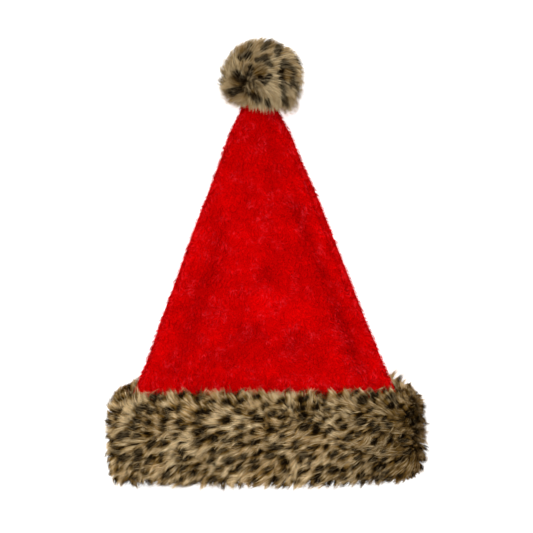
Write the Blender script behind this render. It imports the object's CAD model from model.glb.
"""A plush santa hat that lies flat on its back: red plush crown, leopard-print fur brim and pompom.

Metres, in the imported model's frame. +Y runs up the hat from its mouth to its pompom, +X is to the right
of someone who looks down at it, and it lies on z = 0.
"""

import math
from collections import namedtuple
from functools import reduce

import bmesh
import bpy
from bpy.props import FloatProperty, FloatVectorProperty, IntProperty, PointerProperty
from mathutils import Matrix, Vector, noise


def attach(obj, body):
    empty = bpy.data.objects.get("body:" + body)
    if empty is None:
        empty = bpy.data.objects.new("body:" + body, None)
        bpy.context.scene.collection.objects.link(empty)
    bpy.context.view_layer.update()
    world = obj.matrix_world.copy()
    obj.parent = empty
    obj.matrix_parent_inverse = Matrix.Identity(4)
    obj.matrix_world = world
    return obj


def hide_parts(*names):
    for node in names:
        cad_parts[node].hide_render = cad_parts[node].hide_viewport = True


bl_info = {
    "name": "Plush Santa Hat",
    "version": (1, 0, 0),
    "blender": (4, 5, 0),
    "location": "View3D > Sidebar > Santa Hat",
    "description": "Makes a santa hat of red plush with a leopard-print fur brim and pompom",
    "category": "Object",
}

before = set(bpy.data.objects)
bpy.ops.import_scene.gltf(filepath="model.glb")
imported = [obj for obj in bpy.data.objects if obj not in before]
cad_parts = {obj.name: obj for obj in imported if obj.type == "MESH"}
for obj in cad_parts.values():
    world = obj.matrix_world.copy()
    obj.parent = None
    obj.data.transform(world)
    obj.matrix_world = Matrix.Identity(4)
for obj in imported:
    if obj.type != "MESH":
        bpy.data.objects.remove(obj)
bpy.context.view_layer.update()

FLOOR_Z = 0.0
FLOOR_GAP = 0.0002  # fur that lies on the floor stays this far above it
CLOTH_GAP = 0.0003  # between pieces that touch

# Crown, from the edge inside the brim to the tip inside the pompom
CROWN_MOUTH_Y = -0.2105
CROWN_TIP_Y = 0.1650
CROWN_WALL = 0.0026
HEAD_HALF_WIDTH = 0.1400
CROWN_RING_SPACING = 0.0036
CROWN_EDGE_STEPS = 10
CROWN_PANEL_STEPS = 60
SEAM_RIDGE = 0.0010
SEAM_FACING = 0.20  # the ridge is on faces that look up or down by less than this
EDGE_FROM = 0.0080  # the look of a side edge starts this far inside it
EDGE_FULL = 0.0010  # and is full from here
PILE_EDGE_LENGTH = 0.25  # how much longer the pile is along the seams, as a share
PILE_INTO_BRIM = 0.0180  # how far the pile goes on under the brim's upper edge
PILE_BEFORE_POMPOM = 0.0240  # from the pile's end to the pompom's middle
PILE_OUTWARDS = 0.12  # how far the pile leans to its own side while it lies towards the brim
CROWN_INSIDE_Z = 0.0100  # a height between the crown's two panels

# How a hollow shows in the plush's colour: a depth that counts as 1, and how much higher the edges count
HOLLOW_DENT = 0.0030
HOLLOW_SEAM = 0.0012
HOLLOW_EDGE = 0.35

# Brim, a closed ring round the crown's lower end
BRIM_BOTTOM_Y = -0.2200
BRIM_FRONT_LENGTH = 0.0900
BRIM_BACK_EXTRA = 0.0095  # the half that lies underneath shows above the front half
BRIM_TOP_SLANT = 0.0150  # rise of the top edge, for each metre to the right
BRIM_STRETCH_FROM = 0.0200  # the slant and the extra length start this far up the brim
BRIM_TOP_Y = BRIM_BOTTOM_Y + BRIM_FRONT_LENGTH + BRIM_BACK_EXTRA
BRIM_LIP_HEIGHT = CROWN_MOUTH_Y - CLOTH_GAP - BRIM_BOTTOM_Y
BRIM_PRESSED = 0.0110  # height of the crown's cloth above the floor, on the pressed fur
BRIM_ENDS = {  # how far each end's edges are drawn in, or out where below zero, as shares
    "left": {"low": 0.03, "high": -0.09},
    "right": {"low": 0.10, "high": -0.03},
}
BRIM_CORNERS = {  # how much shorter the fur is there, as shares
    "left": {"low": 0.02, "high": 0.64},
    "right": {"low": 0.34, "high": 0.80},
}
BRIM_MIDDLE = 0.5 * BRIM_FRONT_LENGTH

# Two places: a change starts at the first and is full at the second. X is from the hat's middle, and UP is
# from the middle of the brim's length. The slant makes the lower edge's fur shorter towards the right.
BRIM_END_X = (HEAD_HALF_WIDTH - 0.008, HEAD_HALF_WIDTH + 0.009)
CORNER_X = (0.125, 0.150)
CORNER_UP = (0.022, 0.040)
SLANT_X = (0.04, 0.14)
SLANT_UP = (0.030, 0.040)
SLANT_SHORTER = 0.30
BRIM_EDGE_STEPS = 16
BRIM_PANEL_STEPS = 90
IN_BRIM_Z = BRIM_PRESSED + CLOTH_GAP
UNDER_FACING = -0.6  # the brim's sparse fur grows where the cloth faces down more than this,
UNDER_TOP_Z = 0.0060  # and is lower than this

# The strip of the brim's upper edge that stands free beside the crown has longer and denser fur
STRIP_UP = 0.0700  # from the brim's lower edge
STRIP_TOP_Z = 0.0260
STRIP_START_X = (0.105, 0.118)
STRIP_END_X = (0.134, 0.149)
STRIP_LONGER = 0.42
STRIP_DENSER = 1.6

# Pompom
POMPOM_CENTRE = Vector((-0.0035, 0.1868, 0.0355))
POMPOM_CORE_RADII = Vector((0.0300, 0.0262, 0.0262))
POMPOM_SEGMENTS = 64
POMPOM_RINGS = 40
POMPOM_POLE = 0.002  # the angle from its poles, in radians, of its first and last ring
POMPOM_WHORL = Vector((-0.27, -0.38, 0.88))  # the place that its fur turns away from
POMPOM_NAP = Vector((0.05, -0.22, -0.10))  # the way that all of it is combed
POMPOM_UNEVEN = [  # where its fur is longer, or shorter where below zero, as a share
    ((-0.15, -1.0, 0.1), -0.25),
    ((0.64, -0.76, 0.0), 0.58),
    ((-0.80, -0.60, 0.0), 0.34),
    ((-0.55, 0.85, 0.0), -0.10),
    ((0.35, 0.95, 0.0), -0.15),
]
POMPOM_RADIUS = 0.0400  # at the tips of its fur
SWELL_REACH = (0.82, 0.98)  # from none to all, as the cosine of the angle between two directions
POMPOM_ON_CROWN = -0.86  # no fur grows where the ball faces the crown more than this
POMPOM_UNDER = -0.30  # where it faces down more than this, less fur grows
POMPOM_UNDER_SHARE = 0.35
WHORL_ANGLE = (0.15, 0.60)  # round the whorl the fur is denser
WHORL_DENSER = 0.5
WHORL_COMBED = (0.0, 0.45)  # away from the whorl, the fur starts to lie over, and lies over fully
WHORL_BARE = (0.0040, 0.0085)  # away from the whorl, the print's marks start, and are full
MILLIMETRE = 0.001

# The pompom's markings, seen from above, from its centre in millimetres. Each dark mark is a stroke from
# one place to another, and each golden patch is round. The half that lies underneath has the same ones.
Mark = namedtuple("Mark", "from_x from_y to_x to_y half_width")
POMPOM_MARKS = [
    Mark(-22.5, 16.5, -15.0, 20.5, 2.8),
    Mark(-7.0, 12.0, 1.5, 15.0, 1.5),
    Mark(1.5, 15.0, 7.5, 8.5, 2.5),
    Mark(-14.8, -1.0, -11.6, 4.0, 2.1),
    Mark(-2.4, -5.3, 2.6, -9.5, 2.0),
    Mark(2.6, -9.5, 6.5, -3.5, 1.8),
    Mark(-27.2, -0.5, -24.5, -5.0, 2.8),
    Mark(-24.5, -5.0, -21.0, -9.5, 2.8),
    Mark(-32.0, -18.2, -23.5, -17.0, 2.7),
    Mark(-13.1, -20.3, -4.5, -27.5, 3.4),
    Mark(20.5, 10.5, 18.3, -1.0, 2.0),
    Mark(18.6, -2.0, 20.8, -16.1, 2.0),
    Mark(21.5, 11.5, 29.0, 4.5, 1.9),
    Mark(29.9, 3.8, 28.0, -12.0, 1.9),
    Mark(0.9, 25.3, 5.9, 35.2, 2.1),
    Mark(17.5, 31.1, 14.2, 19.5, 2.4),
    Mark(-15.5, 27.0, -12.5, 34.0, 1.4),
    Mark(-33.0, 22.0, -28.0, 26.0, 1.4),
    Mark(33.0, 16.0, 38.0, 10.5, 1.8),
    Mark(21.2, -20.3, 24.0, -29.0, 1.9),
    Mark(5.1, -27.7, 7.6, -34.0, 1.5),
    Mark(32.5, -8.6, 34.0, -18.6, 1.5),
    Mark(-38.5, 2.0, -39.5, -6.0, 1.6),
]
Patch = namedtuple("Patch", "x y radius")
GOLDEN_PATCHES = [
    Patch(-3.2, 3.0, 8.5),
    Patch(-28.5, -8.0, 7.5),
    Patch(24.0, 0.0, 8.5),
    Patch(10.0, 30.5, 6.5),
    Patch(-20.0, 24.5, 6.0),
    Patch(24.5, -25.0, 6.0),
    Patch(-8.0, -22.0, 6.0),
]

# One row for each section across the crown. The section is a flattened tube: its underside is level
# at underside_z, its side edges are round with edge_radius, and its upper panel rises by rise in the
# middle.
CrownRow = namedtuple("CrownRow", "y middle_x half_width underside_z edge_radius rise")
CROWN_ROWS = [
    CrownRow(CROWN_MOUTH_Y, 0.0000, HEAD_HALF_WIDTH, IN_BRIM_Z, 0.0070, 0.0135),
    CrownRow(-0.1600, 0.0000, HEAD_HALF_WIDTH, IN_BRIM_Z, 0.0070, 0.0135),
    CrownRow(-0.1180, -0.0010, 0.1250, IN_BRIM_Z, 0.0065, 0.0150),
    CrownRow(-0.0865, -0.0010, 0.1130, 0.0060, 0.0058, 0.0160),
    CrownRow(-0.0600, -0.0021, 0.1034, 0.0008, 0.0052, 0.0170),
    CrownRow(-0.0140, -0.0025, 0.0860, 0.0004, 0.0050, 0.0165),
    CrownRow(0.0340, -0.0034, 0.0680, 0.0004, 0.0050, 0.0150),
    CrownRow(0.0720, -0.0036, 0.0531, 0.0006, 0.0052, 0.0130),
    CrownRow(0.1055, -0.0050, 0.0391, 0.0065, 0.0055, 0.0090),
    CrownRow(0.1295, -0.0056, 0.0297, 0.0160, 0.0058, 0.0050),
    CrownRow(0.1455, -0.0062, 0.0208, 0.0225, 0.0060, 0.0025),
    CrownRow(CROWN_TIP_Y, -0.0062, 0.0130, 0.0245, 0.0056, 0.0010),
]

# Soft dents of the crown's upper panel, seen from above, and swells where the depth is below zero
Dent = namedtuple("Dent", "x y reach_x reach_y depth")
CROWN_DENTS = [
    Dent(0.0020, -0.0090, 0.0110, 0.0110, 0.0018),
    Dent(0.0290, -0.0800, 0.0130, 0.0110, 0.0024),
    Dent(-0.0150, -0.0690, 0.0170, 0.0090, 0.0022),
    Dent(-0.0320, -0.0900, 0.0130, 0.0100, 0.0022),
    Dent(-0.0200, 0.0160, 0.0160, 0.0180, -0.0014),
    Dent(-0.0030, -0.0420, 0.0160, 0.0150, -0.0018),
    Dent(0.0330, -0.0500, 0.0170, 0.0120, -0.0018),
    Dent(-0.0450, -0.0720, 0.0130, 0.0160, -0.0012),
]

# Valleys that run inside the crown's side edges, where its upper panel folds over the seams
Valley = namedtuple("Valley", "side inset from_y to_y reach depth")
CROWN_VALLEYS = [
    Valley(1, 0.0250, -0.1000, 0.0500, 0.0080, 0.0026),
    Valley(-1, 0.0300, -0.0980, 0.0100, 0.0100, 0.0018),
]
VALLEY_FADE = 0.0150

# Low swells of loose cloth: the broad ones are about 30 mm across and the fine ones 8 mm
Wave = namedtuple("Wave", "scale shift height")
CROWN_WAVES = [
    Wave(42.0, Vector((0.0, 0.0, 0.0)), 0.0011),
    Wave(120.0, Vector((7.0, 3.0, 1.0)), 0.0005),
]

# The seam that shows on the upper panel, near its right edge
SEAM_LINE = Valley(1, 0.0060, -0.0300, 0.0900, 0.0016, 0.0010)

# The section through the cloth that the brim's fur grows on, round from its lip: up is from the bottom
# edge, out is from the crown's cloth. Fur grows where reach, its share of the full length, is over zero.
# The nap is the way it is combed there: along is round the brim to the left, and rising is towards +Y.
BrimRow = namedtuple("BrimRow", "up out reach along rising")
BRIM_ROWS = [
    BrimRow(BRIM_LIP_HEIGHT, -CROWN_WALL, 0.0, 1.0, 0.0),
    BrimRow(BRIM_LIP_HEIGHT, CLOTH_GAP, 0.0, 1.0, 0.0),
    BrimRow(0.0450, CLOTH_GAP, 0.0, 1.0, 0.0),
    BrimRow(0.0800, CLOTH_GAP, 0.0, 0.9, 0.5),
    BrimRow(0.0835, 0.0020, 0.80, 0.7, 0.8),
    BrimRow(0.0842, 0.0045, 0.95, 0.7, 0.8),
    BrimRow(0.0828, 0.0070, 1.00, 0.7, 0.8),
    BrimRow(0.0785, 0.0088, 1.00, 0.8, 0.6),
    BrimRow(0.0710, 0.0098, 1.00, 0.9, 0.2),
    BrimRow(0.0600, 0.0100, 1.00, 1.0, -0.1),
    BrimRow(0.0480, 0.0100, 1.00, 1.0, -0.2),
    BrimRow(0.0360, 0.0100, 1.00, 1.0, -0.3),
    BrimRow(0.0260, 0.0099, 1.00, 0.9, -0.4),
    BrimRow(0.0180, 0.0094, 1.03, 0.9, -0.5),
    BrimRow(0.0120, 0.0082, 1.08, 0.9, -0.6),
    BrimRow(0.0075, 0.0062, 1.02, 0.9, -0.6),
    BrimRow(0.0050, 0.0035, 0.88, 0.9, -0.6),
    BrimRow(0.0042, 0.0010, 0.0, 0.7, -0.7),
    BrimRow(0.0042, -CROWN_WALL, 0.0, 0.7, -0.7),
]

# The brim's fur and the crown's pile are made in parts, each between two places along x for the brim or
# along y for the crown. An upper part has the edges too, and the part below lies on the floor. Share is
# how much of the full number of strands it has.
StrandPart = namedtuple("StrandPart", "name start end upper share")
BRIM_FUR_PARTS = [
    StrandPart("brim_fur_left", -1.0, -0.0520, True, 1.0),
    StrandPart("brim_fur_middle", -0.0520, 0.0520, True, 1.0),
    StrandPart("brim_fur_right", 0.0520, 1.0, True, 1.0),
    StrandPart("brim_fur_under", -1.0, 1.0, False, 0.18),
]
CROWN_PILE_PARTS = [
    StrandPart("crown_pile_low", -1.0, -0.0450, True, 1.0),
    StrandPart("crown_pile_high", -0.0450, 1.0, True, 1.0),
    StrandPart("crown_pile_under", -1.0, 1.0, False, 0.10),
]

# How strands stand, lie over, gather in locks and wander. Steps is how many faces a strand is long, and
# print_shift how far the print follows it from its root, as a share.
StrandStyle = namedtuple(
    "StrandStyle",
    "steps standing lying lock_size lock_pull lock_spread flow_size flow_spread strand_spread frizz"
    " print_shift",
)
CROWN_PILE_STYLE = StrandStyle(2, 0.80, 0.75, 0.0044, 0.45, 1.4, 0.0140, 3.0, 0.8, 0.0012, 0.0)
BRIM_FUR_STYLE = StrandStyle(3, 0.95, 0.74, 0.0052, 0.70, 0.9, 0.0260, 1.6, 0.45, 0.0018, 0.66)
POMPOM_FUR_STYLE = StrandStyle(3, 1.20, 0.74, 0.0019, 0.72, 0.50, 0.0180, 0.9, 0.45, 0.0014, 0.82)
POMPOM_STRAND_WIDTH = 0.9  # as a share of the brim's
CURL_SCALE = 240.0  # of the noise that frizz follows

# Blotches in the colours: noise that counts as none below low and in full above high
Blotch = namedtuple("Blotch", "scale detail low high")
PARTED_PILE = Blotch(62.0, 2.0, 0.48, 0.62)
DULL_CLOTH = Blotch(300.0, 2.0, 0.3, 0.7)
DYE_DRIFT = Blotch(26.0, 2.0, 0.35, 0.65)
DYE_SMUDGE = Blotch(34.0, 2.0, 0.46, 0.66)
SPOT_STREAKS = Blotch(800.0, 1.0, 0.42, 0.62)

# The plush's flecks: streaks that lie across the hat, drawn out by stretch and bent by swirl
FLECK_SCALE = 720.0
FLECK_STRETCH = Vector((0.34, 1.0, 1.0))
FLECK_SWIRL = 0.022
FLECK_STRENGTH = 0.44

# The brim's small spots
SPOT_PITCH_X = 0.0148  # from one spot to the next, round the brim and up it
SPOT_PITCH_Y = 0.0098
SPOT_SLANT = 0.24
SPOT_BEND = 0.007
SPOT_RAGGED = 0.34
BRIM_TOP_Z = 0.0340  # round the brim's ends, the print goes on down from this height
PRINT_END_X = (0.132, 0.150)  # the print turns down round the ends here
PRINT_HIGH_Y = (-0.150, -0.120)  # the spots are plainer at the ends above this
PRINT_LOW_Y = (-0.224, -0.215)  # and along the lower edge below this

# The pompom's rosettes
MARK_WANDER = 0.0065  # how far noise moves a mark's edge
MARK_SOFT = 0.0010  # the least width of that edge

# Camera and lights
CAMERA_X = 0.0010
CAMERA_Y = -0.0030
CAMERA_LENS = 135.0
CAMERA_SENSOR = 36.0
VIEW_WIDTH = 0.5330  # what the camera sees across, at the height of the hat's middle
HAT_MIDDLE_Z = 0.0300
FLOOR_SIZE = 6.0

Light = namedtuple("Light", "name place size power")
LIGHTS = [
    Light("key_light", (-0.90, 1.00, 1.90), 1.40, 22.0),
    Light("fill_light", (1.40, -0.60, 1.70), 1.60, 9.0),
]


def paint(red, green, blue):
    """A screen colour, from 0 to 255, as the linear colour that a material takes."""
    return tuple(
        share / 12.92 if share <= 0.04045 else ((share + 0.055) / 1.055) ** 2.4
        for share in (red / 255.0, green / 255.0, blue / 255.0)
    )


# Node trees


HALF = Vector((0.5, 0.5, 0.5))  # the middle of a random vector


class Wire:
    """A value in a node tree. Arithmetic on it adds the Math nodes that work it out."""

    def __init__(self, bench, socket):
        self.bench = bench
        self.socket = socket

    def other(self, name):
        """Another output of the same node."""
        return Wire(self.bench, self.socket.node.outputs[name])

    def vector_like(self):
        return self.socket.type in {"VECTOR", "RGBA"}

    def maths(self, operation, *values):
        """One Math node, or one Vector Math node where a vector takes part."""
        vectors = [
            isinstance(value, (Vector, tuple)) or isinstance(value, Wire) and value.vector_like()
            for value in values
        ]
        if any(vectors) and operation == "MULTIPLY" and not all(vectors):
            vector, number = values if vectors[0] else reversed(values)
            places = {0: vector, "Scale": number}
            return self.bench.node("ShaderNodeVectorMath", {"operation": "SCALE"}, places)
        kind = "ShaderNodeVectorMath" if any(vectors) else "ShaderNodeMath"
        return self.bench.node(kind, {"operation": operation}, dict(enumerate(values)))

    def __add__(self, other):
        return self.maths("ADD", self, other)

    def __radd__(self, other):
        return self.maths("ADD", other, self)

    def __sub__(self, other):
        return self.maths("SUBTRACT", self, other)

    def __rsub__(self, other):
        return self.maths("SUBTRACT", other, self)

    def __mul__(self, other):
        return self.maths("MULTIPLY", self, other)

    def __rmul__(self, other):
        return self.maths("MULTIPLY", other, self)

    def __truediv__(self, other):
        return self.maths("DIVIDE", self, other)

    def __rtruediv__(self, other):
        return self.maths("DIVIDE", other, self)

    def __pow__(self, other):
        return self.maths("POWER", self, other)

    def __mod__(self, other):
        return self.maths("FLOORED_MODULO", self, other)

    def at_least(self, other):
        return self.maths("MAXIMUM", self, other)

    def at_most(self, other):
        return self.maths("MINIMUM", self, other)

    def within(self, low, high):
        return self.at_least(low).at_most(high)

    def function(self, operation):
        """A Math or Vector Math operation on this value alone, such as SINE or NORMALIZE."""
        return self.maths(operation, self)

    def dot(self, other):
        settings = {"operation": "DOT_PRODUCT"}
        return self.bench.node("ShaderNodeVectorMath", settings, {0: self, 1: other}, "Value")

    def length(self):
        return self.bench.node("ShaderNodeVectorMath", {"operation": "LENGTH"}, {0: self}, "Value")

    def cross(self, other):
        return self.maths("CROSS_PRODUCT", self, other)

    def part(self, axis):
        """One component of a vector."""
        return self.bench.node("ShaderNodeSeparateXYZ", {}, {0: self}, axis)

    def along_surface(self, facing):
        """What is left of a vector once its part along facing is taken away."""
        return self - facing * self.dot(facing)


class Bench:
    """A node tree in the making."""

    def __init__(self, tree):
        self.tree = tree

    def node(self, kind, settings, values, output=0):
        """Adds a node, sets it up, feeds its sockets, and returns one of its outputs."""
        made = self.tree.nodes.new(kind)
        for name, value in settings.items():
            setattr(made, name, value)
        for name, value in values.items():
            self.feed(made.inputs[name], value)
        return Wire(self, made.outputs[output]) if len(made.outputs) else made

    def feed(self, socket, value):
        if isinstance(value, Wire):
            self.tree.links.new(value.socket, socket)
        elif socket.type == "RGBA" and len(value) == 3:
            socket.default_value = (*value, 1.0)
        else:
            socket.default_value = value

    def inputs(self, sizes):
        """The tree's named inputs, as wires."""
        for name, kind in sizes.items():
            self.tree.interface.new_socket(name, in_out="INPUT", socket_type=kind)
        group = self.tree.nodes.new("NodeGroupInput")
        return {name: Wire(self, group.outputs[name]) for name in sizes}

    def read(self, name, kind="FLOAT"):
        """A named attribute of the mesh."""
        if self.tree.type == "GEOMETRY":
            settings = {"data_type": kind}
            return self.node("GeometryNodeInputNamedAttribute", settings, {"Name": name}, "Attribute")
        output = "Vector" if kind == "FLOAT_VECTOR" else "Fac"
        return self.node("ShaderNodeAttribute", {"attribute_name": name}, {}, output)

    def keep(self, geometry, name, value, kind="FLOAT", domain="POINT"):
        """Stores a value on the geometry as a named attribute."""
        settings = {"data_type": kind, "domain": domain}
        values = {"Geometry": geometry, "Name": name, "Value": value}
        return self.node("GeometryNodeStoreNamedAttribute", settings, values)

    def vector(self, x, y, z):
        return self.node("ShaderNodeCombineXYZ", {}, {"X": x, "Y": y, "Z": z})

    def noise(self, place, scale, detail=2.0, output="Fac"):
        values = {"Vector": place, "Scale": scale, "Detail": detail}
        return self.node("ShaderNodeTexNoise", {"noise_dimensions": "3D"}, values, output)

    def wander(self, place, scale, detail=1.0):
        """A random vector, up to a half each way, that changes smoothly from place to place."""
        return self.noise(place, scale, detail, "Color") - HALF

    def waves(self, place, scale, direction):
        """Straight bands across the X or Y direction."""
        settings = {"wave_type": "BANDS", "bands_direction": direction}
        return self.node("ShaderNodeTexWave", settings, {"Vector": place, "Scale": scale}, "Fac")

    def cells(self, place, scale, randomness=1.0, dimensions="3D"):
        """Round cells, scattered at random: the distance to the nearest middle."""
        settings = {"voronoi_dimensions": dimensions, "feature": "F1"}
        values = {"Vector": place, "Scale": scale, "Randomness": randomness}
        return self.node("ShaderNodeTexVoronoi", settings, values, "Distance")

    def rising(self, value, low, high, start=0.0, end=1.0):
        """A smooth step from start, at low, to end, at high."""
        settings = {"interpolation_type": "SMOOTHSTEP"}
        values = {"Value": value, "From Min": low, "From Max": high, "To Min": start, "To Max": end}
        return self.node("ShaderNodeMapRange", settings, values, "Result")

    def falling(self, value, low, high):
        """A smooth step from 1, at low, down to 0, at high."""
        return self.rising(value, low, high, 1.0, 0.0)

    def blotches(self, place, kind, start=0.0, end=1.0):
        """Noise as a row of the table of blotches says, from start to end."""
        return self.rising(self.noise(place, kind.scale, kind.detail), kind.low, kind.high, start, end)

    def object_place(self):
        return self.node("ShaderNodeTexCoord", {}, {}, "Object")

    def mixed(self, share, first, second):
        """A colour between two colours."""
        values = {0: share, 6: first, 7: second}
        return self.node("ShaderNodeMix", {"data_type": "RGBA"}, values, 2)

    def scaled(self, colour, factor):
        """A colour made lighter or darker."""
        values = {0: 1.0, 6: colour, 7: self.vector(factor, factor, factor)}
        settings = {"data_type": "RGBA", "blend_type": "MULTIPLY"}
        return self.node("ShaderNodeMix", settings, values, 2)


STRAND_INPUTS = {
    "Skin": "NodeSocketGeometry",
    "Strands per Square Metre": "NodeSocketFloat",
    "Steps": "NodeSocketInt",
    "Length": "NodeSocketFloat",
    "Width": "NodeSocketFloat",
    "Standing": "NodeSocketFloat",
    "Lying": "NodeSocketFloat",
    "Lock Size": "NodeSocketFloat",
    "Lock Pull": "NodeSocketFloat",
    "Lock Spread": "NodeSocketFloat",
    "Flow Size": "NodeSocketFloat",
    "Flow Spread": "NodeSocketFloat",
    "Strand Spread": "NodeSocketFloat",
    "Frizz": "NodeSocketFloat",
    "Print Shift": "NodeSocketFloat",
    "Seed": "NodeSocketInt",
    "Material": "NodeSocketMaterial",
}


def strand_blade(bench, steps):
    """A flat blade, one unit long, that narrows to a point. side runs across it and along up it."""
    values = {"Size X": 2.0, "Size Y": 1.0, "Vertices X": 2, "Vertices Y": steps + 1.0}
    grid = bench.node("GeometryNodeMeshGrid", {}, values)
    place = bench.node("GeometryNodeInputPosition", {}, {})
    up = place.part("Y") + 0.5
    is_body = bench.node("FunctionNodeCompare", {"operation": "LESS_THAN"}, {0: up, 1: 0.99}, "Result")
    narrowed = bench.vector(place.part("X") * is_body, up, 0.0)
    blade = bench.node("GeometryNodeSetPosition", {}, {"Geometry": grid, "Position": narrowed})
    values = {"Geometry": blade, "Distance": 0.001}
    blade = bench.node("GeometryNodeMergeByDistance", {}, values)
    blade = bench.keep(blade, "side", place.part("X"))
    return bench.keep(blade, "along", place.part("Y"))


def strand_roots(bench, given):
    """Points on the skin, each of which remembers its place, its number and its own luck."""
    values = {
        "Mesh": given["Skin"],
        "Density": given["Strands per Square Metre"] * bench.read("cover"),
        "Seed": given["Seed"],
    }
    points = bench.node("GeometryNodeDistributePointsOnFaces", {"distribute_method": "RANDOM"}, values)
    place = bench.node("GeometryNodeInputPosition", {}, {})
    number = bench.node("GeometryNodeInputIndex", {}, {})
    values = {"Seed": given["Seed"]}
    luck = bench.node("FunctionNodeRandomValue", {"data_type": "FLOAT_VECTOR"}, values)
    points = bench.keep(points, "root", place, "FLOAT_VECTOR")
    points = bench.keep(points, "luck", luck, "FLOAT_VECTOR")
    count = bench.node(
        "GeometryNodeAttributeDomainSize", {"component": "POINTCLOUD"}, {0: points}, "Point Count"
    )
    return bench.keep(points, "number", number), count


def strand_place(bench, given):
    """Where a point of a strand lies: it stands up from its root and lies over along the nap."""
    root = bench.read("root", "FLOAT_VECTOR")
    luck = bench.read("luck", "FLOAT_VECTOR")
    facing = bench.read("facing", "FLOAT_VECTOR").function("NORMALIZE")
    nap = bench.read("nap", "FLOAT_VECTOR")
    side = bench.read("side")
    along = bench.read("along")
    middle = bench.cells(root, 1.0 / given["Lock Size"]).other("Position")
    lock_luck = bench.node("ShaderNodeTexWhiteNoise", {}, {"Vector": middle * 1000.0}, "Color")
    flow = bench.wander(root, 1.0 / given["Flow Size"])
    lean = (
        nap
        + (lock_luck - HALF) * given["Lock Spread"]
        + flow * given["Flow Spread"]
        + (luck - HALF) * given["Strand Spread"]
    )
    lean = lean.along_surface(facing)
    lean = lean * (1.0 / lean.length().at_least(1.0))
    reach = bench.read("reach") * given["Length"]
    length = reach * (0.62 + 0.66 * luck.part("X")) * (0.8 + 0.4 * lock_luck.part("Z"))
    up = given["Standing"] * (along - 0.45 * along * along)
    over = given["Lying"] * (0.3 * along + 0.7 * along * along)
    place = root + facing * (length * up) + lean * (length * over)
    place = place + (middle - root).along_surface(facing) * (given["Lock Pull"] * along**1.3)
    place = place + bench.wander(place, CURL_SCALE) * (given["Frizz"] * along * along)
    turn = (luck.part("Y") - 0.5) * 1.8
    across = facing.cross(lean) * turn.function("COSINE") + facing * turn.function("SINE")
    width = given["Width"] * (1.0 - 0.35 * along) * (0.7 + 0.6 * luck.part("Z"))
    place = place + across * (side * width * 0.5)
    resting = place.part("Z").at_least(FLOOR_Z + FLOOR_GAP)
    return bench.vector(place.part("X"), place.part("Y"), resting)


def make_strand_tree():
    """Geometry nodes that grow fur or pile on a skin, with a spot of the bake's map for each strand."""
    bench = Bench(bpy.data.node_groups.new("Grow Strands", "GeometryNodeTree"))
    given = bench.inputs(STRAND_INPUTS)
    bench.tree.interface.new_socket("Strands", in_out="OUTPUT", socket_type="NodeSocketGeometry")
    roots, count = strand_roots(bench, given)
    values = {"Points": roots, "Instance": strand_blade(bench, given["Steps"])}
    strands = bench.node("GeometryNodeInstanceOnPoints", {}, values)
    strands = bench.node("GeometryNodeRealizeInstances", {}, {"Geometry": strands})
    values = {"Geometry": strands, "Position": strand_place(bench, given)}
    strands = bench.node("GeometryNodeSetPosition", {}, values)
    root = bench.read("root", "FLOAT_VECTOR")
    place = bench.node("GeometryNodeInputPosition", {}, {})
    printed = root + (place - root) * given["Print Shift"]
    strands = bench.keep(strands, "print", printed, "FLOAT_VECTOR")
    number = bench.read("number")
    columns = count.function("SQRT").function("CEIL")
    row = (number / columns).function("FLOOR")
    map_u = (number % columns + 0.5 + 0.38 * bench.read("side")) / columns
    map_v = (row + 0.08 + 0.84 * bench.read("along")) / columns
    map_place = bench.vector(map_u, map_v, 0.0)
    strands = bench.keep(strands, "OFBake", map_place, "FLOAT2", "CORNER")
    for name in ("number", "side", "nap", "facing", "reach", "cover"):
        strands = bench.node("GeometryNodeRemoveAttribute", {}, {"Geometry": strands, "Name": name})
    values = {"Geometry": strands, "Material": given["Material"]}
    strands = bench.node("GeometryNodeSetMaterial", {}, values)
    bench.node("NodeGroupOutput", {}, {"Strands": strands})
    return bench.tree


def grow_strands(name, skin, **sizes):
    """Grows strands on a skin and leaves them as one plain mesh."""
    tree = bpy.data.node_groups.get("Grow Strands") or make_strand_tree()
    identifiers = {item.name: item.identifier for item in tree.interface.items_tree}
    grower = skin.modifiers.new("strands", "NODES")
    grower.node_group = tree
    for size, value in sizes.items():
        grower[identifiers[size.replace("_", " ").title().replace(" Per ", " per ")]] = value
    bpy.context.view_layer.update()
    depsgraph = bpy.context.evaluated_depsgraph_get()
    mesh = bpy.data.meshes.new_from_object(
        skin.evaluated_get(depsgraph), preserve_all_data_layers=True, depsgraph=depsgraph
    )
    skin.modifiers.remove(grower)
    bpy.data.objects.remove(skin, do_unlink=True)
    if not mesh.polygons:
        raise RuntimeError(f"{name}: no strands grew")
    mesh.name = name
    mesh.shade_smooth()
    return link(name, mesh)


# Materials


def new_material(name):
    """An empty material and the bench for its nodes."""
    made = bpy.data.materials.new(name)
    made.use_nodes = True
    made.node_tree.nodes.clear()
    return made, Bench(made.node_tree)


def finish_material(bench, colour, roughness, bump, constants):
    """Joins a colour, a roughness and a bump to the surface shader."""
    values = {"Base Color": colour, "Roughness": roughness, **constants}
    if bump is not None:
        height, distance = bump
        values["Normal"] = bench.node("ShaderNodeBump", {}, {"Height": height, "Distance": distance})
    shader = bench.node("ShaderNodeBsdfPrincipled", {}, values)
    bench.node("ShaderNodeOutputMaterial", {}, {"Surface": shader})


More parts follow.
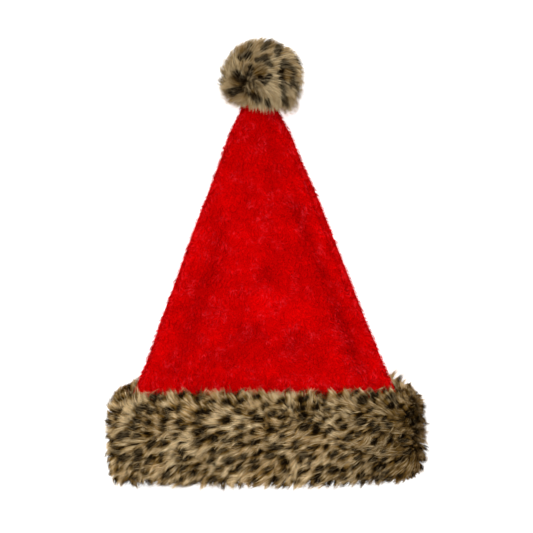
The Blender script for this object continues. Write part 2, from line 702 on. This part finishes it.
def plush_colour(bench, place, settings):
    """Red plush: soft darker patches where the pile lies over, and light flecks where it parts."""
    hollow = bench.read("hollow")
    edge = bench.read("edge")
    broad = bench.noise(place, 45.0, 2.0)
    patch = bench.noise(place, 125.0, 3.0)
    to_tip = bench.rising(place.part("Y"), 0.02, 0.13)
    lightness = 0.745 + 0.20 * broad + 0.36 * patch - hollow * 0.30 - to_tip * 0.06
    parted = bench.blotches(place, PARTED_PILE)
    swirl = bench.wander(place, 48.0) * FLECK_SWIRL
    streaks = bench.noise((place + swirl) * FLECK_STRETCH, FLECK_SCALE, 2.0)
    fleck = bench.rising(streaks, 0.50, 0.66) * parted.at_least(edge * 0.9)
    shadow = bench.falling(streaks, 0.36, 0.50) * (0.10 + 0.32 * edge)
    colour = bench.scaled(tuple(settings.colour), lightness * (1.0 - shadow))
    return bench.mixed(fleck * FLECK_STRENGTH, colour, tuple(settings.fleck_colour))


def make_plush_cloth_material(settings):
    """The plush's ground, seen between the blades of its pile."""
    made, bench = new_material("plush_cloth")
    place = bench.object_place()
    colour = bench.scaled(plush_colour(bench, place, settings), 0.80)
    tufts = bench.noise(place * Vector((1.0, 0.55, 1.0)), 900.0, 3.0)
    roughness = bench.blotches(place, DULL_CLOTH, 0.80, 0.95)
    constants = {
        "Specular IOR Level": 0.0,
        "Sheen Weight": 0.15,
        "Sheen Roughness": 0.5,
        "Sheen Tint": (1.0, 0.02, 0.02),
    }
    finish_material(bench, colour, roughness, (tufts, 0.0012), constants)
    return made


def make_plush_pile_material(settings):
    """The blades of the plush's pile, darker at the root."""
    made, bench = new_material("plush_pile")
    root = bench.read("root", "FLOAT_VECTOR")
    along = bench.read("along")
    luck = bench.read("luck", "FLOAT_VECTOR")
    colour = plush_colour(bench, root, settings)
    shade = bench.rising(along, 0.0, 0.7, 0.74, 1.0) * (0.94 + 0.12 * luck.part("Y"))
    colour = bench.scaled(colour, shade)
    roughness = bench.rising(luck.part("X"), 0.0, 1.0, 0.70, 0.90)
    finish_material(bench, colour, roughness, None, {"Specular IOR Level": 0.0})
    return made


def make_knit_material(settings):
    """The knitted back of the plush, inside the crown."""
    made, bench = new_material("plush_backing")
    place = bench.object_place()
    stitches = bench.waves(place, 220.0, "X") * bench.waves(place, 160.0, "Y")
    colour = bench.mixed(stitches * 0.5, tuple(settings.backing_colour), tuple(settings.colour))
    roughness = 0.85 + 0.1 * stitches
    finish_material(bench, colour, roughness, (stitches, 0.0004), {"Specular IOR Level": 0.1})
    return made


def small_spots(bench, place):
    """Small leopard spots, longer along the nap: how dark and how golden the fur is."""
    x = place.part("X")
    y = place.part("Y")
    end = bench.rising(x.function("ABSOLUTE"), *PRINT_END_X)
    round_it = x + x.function("SIGN") * end * (BRIM_TOP_Z - place.part("Z"))
    flat = bench.vector(round_it, y - x * SPOT_SLANT, 0.0)
    bent = flat + bench.wander(flat, 120.0) * SPOT_BEND
    distance = bench.cells(bent * Vector((1.0 / SPOT_PITCH_X, 1.0 / SPOT_PITCH_Y, 1.0)), 1.0, 0.80, "2D")
    away = distance + (bench.noise(place, 330.0, 2.0) - 0.5) * SPOT_RAGGED
    high = bench.rising(y, *PRINT_HIGH_Y)
    deeper = bench.rising(x, 0.05, 0.13) * bench.rising(x, 0.140, 0.158, 1.0, 0.55) * (1.0 - 0.85 * high)
    leftmost = bench.falling(x, -0.150, -0.070)
    size = 0.14 + 0.21 * distance.other("Color").part("X") + 0.05 * deeper + 0.04 * leftmost
    core = bench.falling(away, size - 0.03, size + 0.09)
    streaks = bench.blotches(place, SPOT_STREAKS)
    fringe = bench.falling(away, size + 0.02, size + 0.24) * (0.20 + 0.45 * streaks)
    smudge = bench.blotches(place, DYE_SMUDGE)
    golden = bench.falling(away, size + 0.10, size + 0.40)
    dark = core.at_least(fringe).at_least(deeper * 0.17)
    plainer = (1.0 - 0.75 * end * high) * bench.rising(y, *PRINT_LOW_Y, 0.5, 1.0)
    return dark * plainer, golden.at_least(smudge * 0.45).at_least(deeper * 0.9)


def mark_darkness(bench, place, mark):
    """1 on one of the pompom's dark strokes, and 0 away from it."""
    start = on_pompom(mark.from_x, mark.from_y)
    stroke = on_pompom(mark.to_x, mark.to_y) - start
    along = (place - start).dot(stroke / stroke.length_squared).within(0.0, 1.0)
    away = (place - start - along * stroke).length()
    width = mark.half_width * MILLIMETRE
    return bench.falling(away, width * 1.2, width * 1.8 + MARK_SOFT)


def patch_gold(bench, place, patch):
    """1 in the middle of one of the pompom's golden patches, and 0 away from it."""
    away = (place - on_pompom(patch.x, patch.y)).length()
    radius = patch.radius * MILLIMETRE
    return bench.falling(away, radius * 0.6, radius * 1.25)


def rosettes(bench, place):
    """Large leopard rosettes, broken dark strokes round golden middles: how dark and how golden."""
    towards = (place - POMPOM_CENTRE).function("NORMALIZE")
    on_ball = towards * POMPOM_RADIUS
    wandering = on_ball + bench.wander(on_ball, 170.0, 2.0) * MARK_WANDER
    height = wandering.part("Z").function("ABSOLUTE")
    folded = bench.vector(wandering.part("X"), wandering.part("Y"), height)
    dark = reduce(Wire.at_least, [mark_darkness(bench, folded, mark) for mark in POMPOM_MARKS])
    golden = reduce(Wire.at_least, [patch_gold(bench, folded, patch) for patch in GOLDEN_PATCHES])
    from_whorl = (on_ball - POMPOM_WHORL.normalized() * POMPOM_RADIUS).length()
    return dark * bench.rising(from_whorl, *WHORL_BARE), golden


def fur_colour(bench, place, pattern, pale, settings):
    """The fur's dye at a place: tan, golden brown and nearly black. Pale strands took less of it."""
    dark, golden = pattern(bench, place)
    drift = bench.blotches(place, DYE_DRIFT)
    ground = bench.mixed(drift, tuple(settings.tan_colour), tuple(settings.light_colour))
    ground = bench.mixed(pale * 0.6, ground, tuple(settings.pale_colour))
    ground = bench.mixed(golden * (0.92 - 0.4 * pale), ground, tuple(settings.golden_colour))
    return bench.mixed(dark * (1.0 - 0.35 * pale), ground, tuple(settings.spot_colour))


def make_fur_material(name, pattern, lightness, depth, settings):
    """Strands of printed fur, dark at the root for a share of their length. The dye missed a few."""
    made, bench = new_material(name)
    along = bench.read("along")
    luck = bench.read("luck", "FLOAT_VECTOR")
    pale = bench.rising(luck.part("X"), 0.80, 0.95)
    colour = fur_colour(bench, bench.read("print", "FLOAT_VECTOR"), pattern, pale, settings)
    colour = bench.scaled(colour, lightness * (0.76 + 0.74 * luck.part("Z")))
    colour = bench.mixed(bench.rising(along, 0.0, depth), tuple(settings.root_colour), colour)
    roughness = 0.45 + 0.25 * luck.part("Y")
    finish_material(bench, colour, roughness, None, {"Specular IOR Level": 0.0})
    return made


def make_fur_ground_material(name, pattern, settings):
    """The cloth that the fur grows on, with the dye that soaked through to it."""
    made, bench = new_material(name)
    place = bench.object_place()
    weave = bench.noise(place, 1400.0, 3.0)
    colour = fur_colour(bench, place, pattern, weave * 0.2, settings)
    colour = bench.scaled(colour, 0.22 + 0.15 * weave)
    roughness = 0.80 + 0.15 * weave
    finish_material(bench, colour, roughness, (weave, 0.0006), {"Specular IOR Level": 0.1})
    return made


# Shapes


def on_pompom(x, y):
    """The place on the pompom's upper half over x and y, in millimetres from its centre."""
    place = Vector((x, y, 0.0)) * MILLIMETRE
    if place.length > 0.99 * POMPOM_RADIUS:
        place *= 0.99 * POMPOM_RADIUS / place.length
    place.z = math.sqrt(POMPOM_RADIUS**2 - place.length_squared)
    return place


def link(name, mesh):
    made = bpy.data.objects.new(name, mesh)
    bpy.context.scene.collection.objects.link(made)
    return made


def tangent(steepness, i):
    """The slope of the curve at a row, which is level where the rows turn back."""
    if i in (0, len(steepness)):
        return steepness[min(i, len(steepness) - 1)]
    before, after = steepness[i - 1], steepness[i]
    return 0.0 if before * after <= 0.0 else 2.0 * before * after / (before + after)


def smooth_between(rows, y):
    """The crown's row at y: a curve through the rows that never swings past them."""
    above = next((i for i, row in enumerate(rows) if row.y >= y), len(rows) - 1)
    above = max(above, 1)
    span = rows[above].y - rows[above - 1].y
    t = min(max((y - rows[above - 1].y) / span, 0.0), 1.0)
    values = []
    for column in range(1, len(CrownRow._fields)):
        steepness = [(b[column] - a[column]) / (b.y - a.y) for a, b in zip(rows, rows[1:])]
        values.append(
            (2 * t**3 - 3 * t**2 + 1) * rows[above - 1][column]
            + (t**3 - 2 * t**2 + t) * span * tangent(steepness, above - 1)
            + (3 * t**2 - 2 * t**3) * rows[above][column]
            + (t**3 - t**2) * span * tangent(steepness, above)
        )
    return CrownRow(y, *values)


def tube_section(row, out, edge_steps, panel_steps):
    """Points round a flattened tube and which way each faces, from its lower right edge over the top.

    out moves the whole section outwards from the cloth, or inwards where it is below zero. The points
    of the panels lie closer together near the side edges.
    """
    reach = row.half_width - row.edge_radius
    middle_z = row.underside_z + row.edge_radius
    points = []
    for side in (1, -1):
        for step in range(edge_steps + 1):
            angle = math.radians(-90.0 + 180.0 * step / edge_steps)
            facing = Vector((side * math.cos(angle), 0.0, side * math.sin(angle)))
            middle = Vector((row.middle_x + side * reach, row.y, middle_z))
            points.append((middle + facing * (row.edge_radius + out), facing))
        for step in range(1, panel_steps):
            share = step / panel_steps
            across = 0.5 * (1.0 - 2.0 * share) + 0.5 * math.cos(math.pi * share)
            swell = row.rise * (1.0 - across**2) if side > 0 else 0.0
            height = row.edge_radius + swell + out
            place = Vector((row.middle_x + side * reach * across, row.y, middle_z + side * height))
            points.append((place, Vector((0.0, 0.0, side))))
    return points


def loft(bm, rings, closed_row=False):
    """Faces between neighbouring rings of vertices."""
    pairs = list(zip(rings, rings[1:]))
    if closed_row:
        pairs.append((rings[-1], rings[0]))
    for near, far in pairs:
        for i in range(len(near)):
            j = (i + 1) % len(near)
            bm.faces.new((near[i], far[i], far[j], near[j]))


def lengthwise_depth(valley, place, section):
    """How far a valley or seam that follows a side edge lowers the crown's upper panel."""
    edge_x = section.middle_x + valley.side * (section.half_width - valley.inset)
    past_end = max(valley.from_y - place.y, place.y - valley.to_y, 0.0)
    away = ((place.x - edge_x) / valley.reach) ** 2 + (past_end / VALLEY_FADE) ** 2
    return valley.depth * math.exp(-away)


def crown_depth(place, section):
    """How far dents, valleys and the seam lower the crown's upper panel here."""
    depth = sum(lengthwise_depth(valley, place, section) for valley in CROWN_VALLEYS)
    for dent in CROWN_DENTS:
        away = ((place.x - dent.x) / dent.reach_x) ** 2 + ((place.y - dent.y) / dent.reach_y) ** 2
        depth += dent.depth * math.exp(-away)
    return depth, lengthwise_depth(SEAM_LINE, place, section)


def soft_waves(place):
    """How far the loose cloth swells up here."""
    return sum(noise.noise(place * wave.scale + wave.shift) * wave.height for wave in CROWN_WAVES)


def crown_surface(places):
    """Vertices of the crown's outer face, ring by ring, how deep each lies, and which are at a seam."""
    rings = []
    hollows = []
    edges = []
    for y in places:
        section = smooth_between(CROWN_ROWS, y)
        ring = []
        bare = 1.0 if y > BRIM_TOP_Y else 0.0
        for place, facing in tube_section(section, 0.0, CROWN_EDGE_STEPS, CROWN_PANEL_STEPS):
            hollow = 0.0
            if facing.z > 0.9:
                dent, seam = crown_depth(place, section)
                waves = soft_waves(place)
                edge = (abs(place.x - section.middle_x) / section.half_width) ** 6
                hollow = (dent - waves) / HOLLOW_DENT + seam / HOLLOW_SEAM - HOLLOW_EDGE * edge
                place.z -= dent + seam - waves * bare
            if abs(facing.z) < SEAM_FACING and bare:
                place += facing * SEAM_RIDGE * (1.0 - abs(facing.z) / SEAM_FACING)
            ring.append(place)
            hollows.append(hollow)
            from_middle = abs(place.x - section.middle_x)
            starts, full = section.half_width - EDGE_FROM, section.half_width - EDGE_FULL
            edges.append(smooth_step(from_middle, starts, full))
        rings.append(ring)
    return rings, {"hollow": hollows, "edge": edges}


def even_places(start, end, spacing):
    count = max(2, round((end - start) / spacing))
    return [start + (end - start) * step / count for step in range(count + 1)]


def keep_attributes(mesh, attributes):
    """Stores lists of numbers or vectors, one for each vertex, under their names."""
    for name, values in attributes.items():
        if isinstance(values[0], Vector):
            layer = mesh.attributes.new(name, "FLOAT_VECTOR", "POINT")
            layer.data.foreach_set("vector", [number for value in values for number in value])
        else:
            layer = mesh.attributes.new(name, "FLOAT", "POINT")
            layer.data.foreach_set("value", values)


def skin_mesh(name, rings, attributes, closed_row=False, caps=(), turned=False):
    """A lofted skin with values at its vertices.

    closed_row joins its last ring to its first, caps are the rings that a face closes, and turned makes
    its faces point outwards.
    """
    bm = bmesh.new()
    made = [[bm.verts.new(place) for place in ring] for ring in rings]
    loft(bm, made, closed_row)
    for cap in caps:
        bm.faces.new(made[cap])
    if turned:
        bmesh.ops.recalc_face_normals(bm, faces=bm.faces)
    mesh = bpy.data.meshes.new(name)
    bm.to_mesh(mesh)
    bm.free()
    keep_attributes(mesh, attributes)
    return mesh


def outward_normals(mesh, middle_of):
    """The facing of each vertex, turned outwards where the mesh's own faces point inwards."""
    facings = [vertex.normal.copy() for vertex in mesh.vertices]
    outwards = sum(
        facing.dot(vertex.co - middle_of(vertex.co)) for facing, vertex in zip(facings, mesh.vertices)
    )
    return facings if outwards > 0.0 else [-facing for facing in facings]


def link_smooth(mesh, *materials):
    """Puts a cloth's or a core's mesh in the scene, smooth and with its materials."""
    mesh.shade_smooth()
    for material in materials:
        mesh.materials.append(material)
    return link(mesh.name, mesh)


def make_crown_cloth(settings):
    """The crown's cloth: a fine skin with its dents, waves and seam, thickened inwards."""
    places = even_places(CROWN_MOUTH_Y, CROWN_TIP_Y, CROWN_RING_SPACING)
    rings, attributes = crown_surface(places)
    mesh = skin_mesh("crown_cloth", rings, attributes, caps=(-1,), turned=True)
    cloth = link_smooth(mesh, make_plush_cloth_material(settings), make_knit_material(settings))
    wall = cloth.modifiers.new("wall", "SOLIDIFY")
    wall.thickness = CROWN_WALL
    wall.offset = -1.0
    wall.use_even_offset = True
    wall.material_offset = 1
    wall.material_offset_rim = 1
    return cloth


def make_crown_skin(part):
    """The part of the crown that one part of its pile grows on."""
    start, end = BRIM_TOP_Y - PILE_INTO_BRIM, POMPOM_CENTRE.y - PILE_BEFORE_POMPOM
    rings, attributes = crown_surface(even_places(start, end, CROWN_RING_SPACING))
    mesh = skin_mesh(part.name, rings, attributes)
    facings = outward_normals(mesh, lambda place: Vector((0.0, place.y, CROWN_INSIDE_Z)))
    cover = []
    for vertex, facing in zip(mesh.vertices, facings):
        inside = part.start <= vertex.co.y < part.end
        cover.append(1.0 if inside and (facing.z > -0.5) == part.upper else 0.0)
    naps = [Vector((math.copysign(PILE_OUTWARDS, facing.x), -1.0, 0.0)) for facing in facings]
    reaches = [1.0 + PILE_EDGE_LENGTH * abs(facing.x) for facing in facings]
    keep_attributes(mesh, {"facing": facings, "nap": naps, "reach": reaches, "cover": cover})
    return link(part.name, mesh)


def smooth_step(value, low, high):
    t = min(max((value - low) / (high - low), 0.0), 1.0)
    return t * t * (3.0 - 2.0 * t)


def brim_end(place):
    """From 0 along the brim to 1 at its left and right ends."""
    return smooth_step(abs(place.x), *BRIM_END_X)


def brim_corner(shares, x, low):
    """What a table of the brim's four corners gives for the nearest one."""
    return shares["left" if x < 0.0 else "right"]["low" if low else "high"]


def brim_surface():
    """Vertices of the cloth under the brim's fur, row by row, with each row of the table."""
    rings = []
    rows = []
    for row in BRIM_ROWS:
        ring = []
        for place, facing in tube_section(CROWN_ROWS[0], row.out, BRIM_EDGE_STEPS, BRIM_PANEL_STEPS):
            share = max(0.0, (row.up - BRIM_STRETCH_FROM) / (BRIM_FRONT_LENGTH - BRIM_STRETCH_FROM))
            longer = BRIM_BACK_EXTRA * (1.0 - facing.z) / 2.0 + BRIM_TOP_SLANT * place.x
            place.y = BRIM_BOTTOM_Y + row.up + share * longer
            if row.out > CLOTH_GAP:
                below = BRIM_BOTTOM_Y + BRIM_MIDDLE - place.y
                place.y += below * brim_corner(BRIM_ENDS, place.x, below > 0.0) * brim_end(place)
            place.z = max(place.z, FLOOR_Z + CLOTH_GAP)
            ring.append(place)
            rows.append(row)
        rings.append(ring)
    return rings, rows


def make_brim_cloth(settings):
    """The cloth ring that the brim's fur grows on."""
    rings, _ = brim_surface()
    mesh = skin_mesh("brim_cloth", rings, {}, closed_row=True, turned=True)
    return link_smooth(mesh, make_fur_ground_material("brim_fur_ground", small_spots, settings))


def beside_crown(place, row):
    """Near 1 where the brim's upper edge stands free beside the crown, and 0 elsewhere."""
    if row.up < STRIP_UP or place.z > STRIP_TOP_Z:
        return 0.0
    return smooth_step(abs(place.x), *STRIP_START_X) * (1.0 - smooth_step(abs(place.x), *STRIP_END_X))


def make_brim_skin(part):
    """The part of the brim's cloth that one part of its fur grows on."""
    rings, rows = brim_surface()
    places = [place for ring in rings for place in ring]
    reaches = []
    for place, row in zip(places, rows):
        from_middle = abs(row.up - BRIM_MIDDLE)
        low = row.up < BRIM_MIDDLE
        corner = smooth_step(abs(place.x), *CORNER_X) * smooth_step(from_middle, *CORNER_UP)
        taller = STRIP_LONGER * beside_crown(place, row)
        shorter = brim_corner(BRIM_CORNERS, place.x, low)
        slant = SLANT_SHORTER * smooth_step(place.x, *SLANT_X) if low else 0.0
        slant *= smooth_step(from_middle, *SLANT_UP)
        reaches.append(row.reach * (1.0 + taller) * (1.0 - shorter * corner) * (1.0 - slant))
    mesh = skin_mesh(part.name, rings, {"reach": reaches}, closed_row=True, turned=True)
    naps = []
    cover = []
    facings = [vertex.normal.copy() for vertex in mesh.vertices]
    up_hat = Vector((0.0, 1.0, 0.0))
    for vertex, facing, row in zip(mesh.vertices, facings, rows):
        naps.append(-up_hat.cross(facing) * row.along + up_hat * row.rising)
        inside = part.start <= vertex.co.x < part.end
        upper = facing.z > UNDER_FACING or vertex.co.z > UNDER_TOP_Z
        grows = inside and row.reach > 0.0 and upper == part.upper
        cover.append(1.0 + STRIP_DENSER * beside_crown(vertex.co, row) if grows else 0.0)
    keep_attributes(mesh, {"facing": facings, "nap": naps, "cover": cover})
    return link(part.name, mesh)


def pompom_rings():
    """The core's ball as level rings from its top down, in an order that never changes."""
    downs = [math.pi * step / POMPOM_RINGS for step in range(POMPOM_RINGS + 1)]
    downs[0] = POMPOM_POLE
    downs[-1] = math.pi - POMPOM_POLE
    rings = []
    for down in downs:
        turns = [math.tau * step / POMPOM_SEGMENTS for step in range(POMPOM_SEGMENTS)]
        towards = [
            Vector((math.sin(down) * math.cos(turn), math.sin(down) * math.sin(turn), math.cos(down)))
            for turn in turns
        ]
        rings.append([POMPOM_CENTRE + way * POMPOM_CORE_RADII for way in towards])
    return rings


def make_pompom_core(settings):
    """The round core under the pompom's fur, flat where the crown's tip meets it."""
    rings = pompom_rings()
    for place in (place for ring in rings for place in ring):
        place.y = max(place.y, CROWN_TIP_Y + CLOTH_GAP)
    mesh = skin_mesh("pompom_core", rings, {}, caps=(0, -1), turned=True)
    return link_smooth(mesh, make_fur_ground_material("pompom_fur_ground", rosettes, settings))


def pompom_nap(facing):
    """The way the pompom's fur lies: out of the whorl and round it, and more upright at the rim."""
    away = -POMPOM_WHORL.normalized()
    away -= facing * away.dot(facing)
    from_whorl = away.length
    if from_whorl < 1.0e-6:
        return Vector()
    away /= from_whorl
    round_it = facing.cross(POMPOM_WHORL).normalized()
    combed = (away + round_it) * (0.7 * smooth_step(from_whorl, *WHORL_COMBED)) + POMPOM_NAP
    return combed * (0.15 + 0.85 * abs(facing.z))


def make_pompom_skin():
    """The core's surface, which the pompom's fur grows on, sparser where the hat lies on it."""
    mesh = skin_mesh("pompom_fur", pompom_rings(), {})
    facings = outward_normals(mesh, lambda place: POMPOM_CENTRE)
    reaches = []
    cover = []
    for facing in facings:
        reaches.append(1.0 + sum(change * swell_towards(facing, aim) for aim, change in POMPOM_UNEVEN))
        at_whorl = 1.0 - smooth_step(facing.angle(POMPOM_WHORL), *WHORL_ANGLE)
        share = 1.0 + WHORL_DENSER * at_whorl if facing.z > POMPOM_UNDER else POMPOM_UNDER_SHARE
        cover.append(0.0 if facing.y < POMPOM_ON_CROWN else share)
    naps = [pompom_nap(facing) for facing in facings]
    keep_attributes(mesh, {"facing": facings, "nap": naps, "reach": reaches, "cover": cover})
    return link("pompom_fur", mesh)


def swell_towards(facing, aim):
    """1 where a facing agrees with an aim, falling to 0 at about 35 degrees from it."""
    return smooth_step(facing.dot(Vector(aim).normalized()), *SWELL_REACH)


# Settings


class PlushSettings(bpy.types.PropertyGroup):
    """The crown's plush."""

    colour: FloatVectorProperty(
        name="Plush", description="Colour of the plush", subtype="COLOR", default=paint(222, 2, 3)
    )
    fleck_colour: FloatVectorProperty(
        name="Flecks",
        description="Colour of the light flecks where the pile parts",
        subtype="COLOR",
        default=paint(255, 54, 66),
    )
    backing_colour: FloatVectorProperty(
        name="Backing",
        description="Colour of the knitted cloth inside",
        subtype="COLOR",
        default=paint(120, 6, 10),
    )
    pile_length: FloatProperty(
        name="Pile Length", description="Length of the plush pile", unit="LENGTH", default=0.0038
    )
    pile_width: FloatProperty(
        name="Pile Width", description="Width of a blade of pile", unit="LENGTH", default=0.0005
    )
    pile_density: FloatProperty(
        name="Pile Density", description="Blades of pile on a square metre", default=1.5e6
    )
    seed: IntProperty(name="Seed", description="Layout of the pile", default=3)


class FurSettings(bpy.types.PropertyGroup):
    """The leopard-print fur of the brim and the pompom."""

    tan_colour: FloatVectorProperty(
        name="Tan", description="Ground colour", subtype="COLOR", default=paint(170, 136, 84)
    )
    light_colour: FloatVectorProperty(
        name="Light Tan",
        description="Ground colour where it is lightest",
        subtype="COLOR",
        default=paint(200, 174, 128),
    )
    pale_colour: FloatVectorProperty(
        name="Pale",
        description="Single strands that the dye missed",
        subtype="COLOR",
        default=paint(230, 212, 174),
    )
    golden_colour: FloatVectorProperty(
        name="Golden", description="Colour round the spots", subtype="COLOR", default=paint(114, 82, 26)
    )
    spot_colour: FloatVectorProperty(
        name="Spots", description="Colour of the spots", subtype="COLOR", default=paint(16, 9, 3)
    )
    root_colour: FloatVectorProperty(
        name="Roots", description="Colour deep in the fur", subtype="COLOR", default=paint(56, 37, 13)
    )
    brim_length: FloatProperty(
        name="Brim Fur Length", description="Length of a strand", unit="LENGTH", default=0.0162
    )
    pompom_length: FloatProperty(
        name="Pompom Fur Length", description="Length of a strand", unit="LENGTH", default=0.0158
    )
    strand_width: FloatProperty(
        name="Strand Width", description="Width of a strand at its root", unit="LENGTH", default=0.0005
    )
    brim_density: FloatProperty(
        name="Brim Density", description="Strands on a square metre of the brim", default=2.4e6
    )
    pompom_density: FloatProperty(
        name="Pompom Density", description="Strands on a square metre of the core", default=5.3e6
    )
    seed: IntProperty(name="Seed", description="Layout of the strands", default=7)


class StageSettings(bpy.types.PropertyGroup):
    """Floor, lights and camera."""

    floor_colour: FloatVectorProperty(
        name="Floor", description="Colour of the floor", subtype="COLOR", default=(0.95, 0.95, 0.95)
    )
    floor_glow: FloatProperty(
        name="Floor Glow", description="Light that the lit floor gives off by itself", default=0.55
    )
    sky_strength: FloatProperty(
        name="Sky", description="Strength of the even light from all sides", default=0.9
    )
    lamp_strength: FloatProperty(
        name="Lamps", description="Strength of the studio lamps, as a share", default=1.0
    )


# Operators


class SANTAHAT_OT_stage(bpy.types.Operator):
    """Makes the floor, the studio lights and the camera straight above the hat"""

    bl_idname = "santahat.stage"
    bl_label = "Make Stage"

    def execute(self, context):
        settings = context.scene.santahat_stage
        scene = context.scene
        camera_data = bpy.data.cameras.new("camera")
        camera_data.lens = CAMERA_LENS
        camera_data.sensor_width = CAMERA_SENSOR
        camera = bpy.data.objects.new("camera", camera_data)
        height = HAT_MIDDLE_Z + VIEW_WIDTH * CAMERA_LENS / CAMERA_SENSOR
        camera.location = (CAMERA_X, CAMERA_Y, height)
        scene.collection.objects.link(camera)
        scene.camera = camera
        for light in LIGHTS:
            lamp_data = bpy.data.lights.new(light.name, "AREA")
            lamp_data.size = light.size
            lamp_data.energy = light.power * settings.lamp_strength
            lamp = bpy.data.objects.new(light.name, lamp_data)
            lamp.location = light.place
            lamp.rotation_euler = (-Vector(light.place)).to_track_quat("-Z", "Y").to_euler()
            scene.collection.objects.link(lamp)
        self.make_floor(settings)
        world = bpy.data.worlds.new("studio")
        world.use_nodes = True
        background = world.node_tree.nodes["Background"]
        background.inputs["Color"].default_value = (1.0, 1.0, 1.0, 1.0)
        background.inputs["Strength"].default_value = settings.sky_strength
        scene.world = world
        scene.view_settings.view_transform = "Standard"
        return {"FINISHED"}

    def make_floor(self, settings):
        bm = bmesh.new()
        bmesh.ops.create_grid(bm, x_segments=8, y_segments=8, size=FLOOR_SIZE / 2.0)
        mesh = bpy.data.meshes.new("floor")
        bm.to_mesh(mesh)
        bm.free()
        made, bench = new_material("floor")
        grain = bench.noise(bench.object_place(), 30.0, 2.0)
        colour = bench.scaled(tuple(settings.floor_colour), 0.99 + 0.02 * grain)
        constants = {
            "Specular IOR Level": 0.0,
            "Emission Color": (1.0, 1.0, 1.0, 1.0),
            "Emission Strength": settings.floor_glow,
        }
        finish_material(bench, colour, 0.9 + 0.05 * grain, None, constants)
        mesh.materials.append(made)
        link("floor", mesh)


class SANTAHAT_OT_crown(bpy.types.Operator):
    """Makes the crown's plush cloth and its pile"""

    bl_idname = "santahat.crown"
    bl_label = "Make Crown"

    def execute(self, context):
        settings = context.scene.santahat_plush
        pile = make_plush_pile_material(settings)
        made = [make_crown_cloth(settings)]
        for part in CROWN_PILE_PARTS:
            made.append(
                grow_strands(
                    part.name,
                    make_crown_skin(part),
                    **CROWN_PILE_STYLE._asdict(),
                    strands_per_square_metre=settings.pile_density * part.share,
                    length=settings.pile_length,
                    width=settings.pile_width,
                    seed=settings.seed,
                    material=pile,
                )
            )
        for piece in made:
            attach(piece, "root")
            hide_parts("crown")
        return {"FINISHED"}


class SANTAHAT_OT_brim(bpy.types.Operator):
    """Makes the brim's cloth and its leopard-print fur"""

    bl_idname = "santahat.brim"
    bl_label = "Make Brim"

    def execute(self, context):
        settings = context.scene.santahat_fur
        fur = make_fur_material("brim_fur", small_spots, 1.0, 0.74, settings)
        made = [make_brim_cloth(settings)]
        for part in BRIM_FUR_PARTS:
            made.append(
                grow_strands(
                    part.name,
                    make_brim_skin(part),
                    **BRIM_FUR_STYLE._asdict(),
                    strands_per_square_metre=settings.brim_density * part.share,
                    length=settings.brim_length,
                    width=settings.strand_width,
                    seed=settings.seed,
                    material=fur,
                )
            )
        for piece in made:
            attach(piece, "root")
            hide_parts("brim")
        return {"FINISHED"}


class SANTAHAT_OT_pompom(bpy.types.Operator):
    """Makes the pompom's core and its leopard-print fur"""

    bl_idname = "santahat.pompom"
    bl_label = "Make Pompom"

    def execute(self, context):
        settings = context.scene.santahat_fur
        core = make_pompom_core(settings)
        strands = grow_strands(
            "pompom_fur",
            make_pompom_skin(),
            **POMPOM_FUR_STYLE._asdict(),
            strands_per_square_metre=settings.pompom_density,
            length=settings.pompom_length,
            width=POMPOM_STRAND_WIDTH * settings.strand_width,
            seed=settings.seed,
            material=make_fur_material("pompom_fur", rosettes, 0.76, 0.94, settings),
        )
        for piece in (core, strands):
            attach(piece, "root")
            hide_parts("pompom")
        return {"FINISHED"}


class SANTAHAT_PT_panel(bpy.types.Panel):
    """Lists the hat's pieces and settings in the 3D view's sidebar"""

    bl_idname = "SANTAHAT_PT_panel"
    bl_label = "Santa Hat"
    bl_space_type = "VIEW_3D"
    bl_region_type = "UI"
    bl_category = "Santa Hat"

    def draw(self, context):
        for maker in OPERATORS:
            self.layout.operator(maker.bl_idname)
        for group in SETTINGS:
            box = self.layout.box()
            for name in SETTINGS[group].__annotations__:
                box.prop(getattr(context.scene, group), name)


SETTINGS = {
    "santahat_plush": PlushSettings,
    "santahat_fur": FurSettings,
    "santahat_stage": StageSettings,
}
OPERATORS = (SANTAHAT_OT_stage, SANTAHAT_OT_crown, SANTAHAT_OT_brim, SANTAHAT_OT_pompom)


def register():
    for kind in (*SETTINGS.values(), *OPERATORS, SANTAHAT_PT_panel):
        bpy.utils.register_class(kind)
    for group, kind in SETTINGS.items():
        setattr(bpy.types.Scene, group, PointerProperty(type=kind))


def unregister():
    for group in SETTINGS:
        delattr(bpy.types.Scene, group)
    for kind in (SANTAHAT_PT_panel, *reversed(OPERATORS), *reversed(SETTINGS.values())):
        bpy.utils.unregister_class(kind)


def main():
    register()
    bpy.ops.santahat.stage()
    bpy.ops.santahat.crown()
    bpy.ops.santahat.brim()
    bpy.ops.santahat.pompom()


if __name__ == "__main__":
    main()
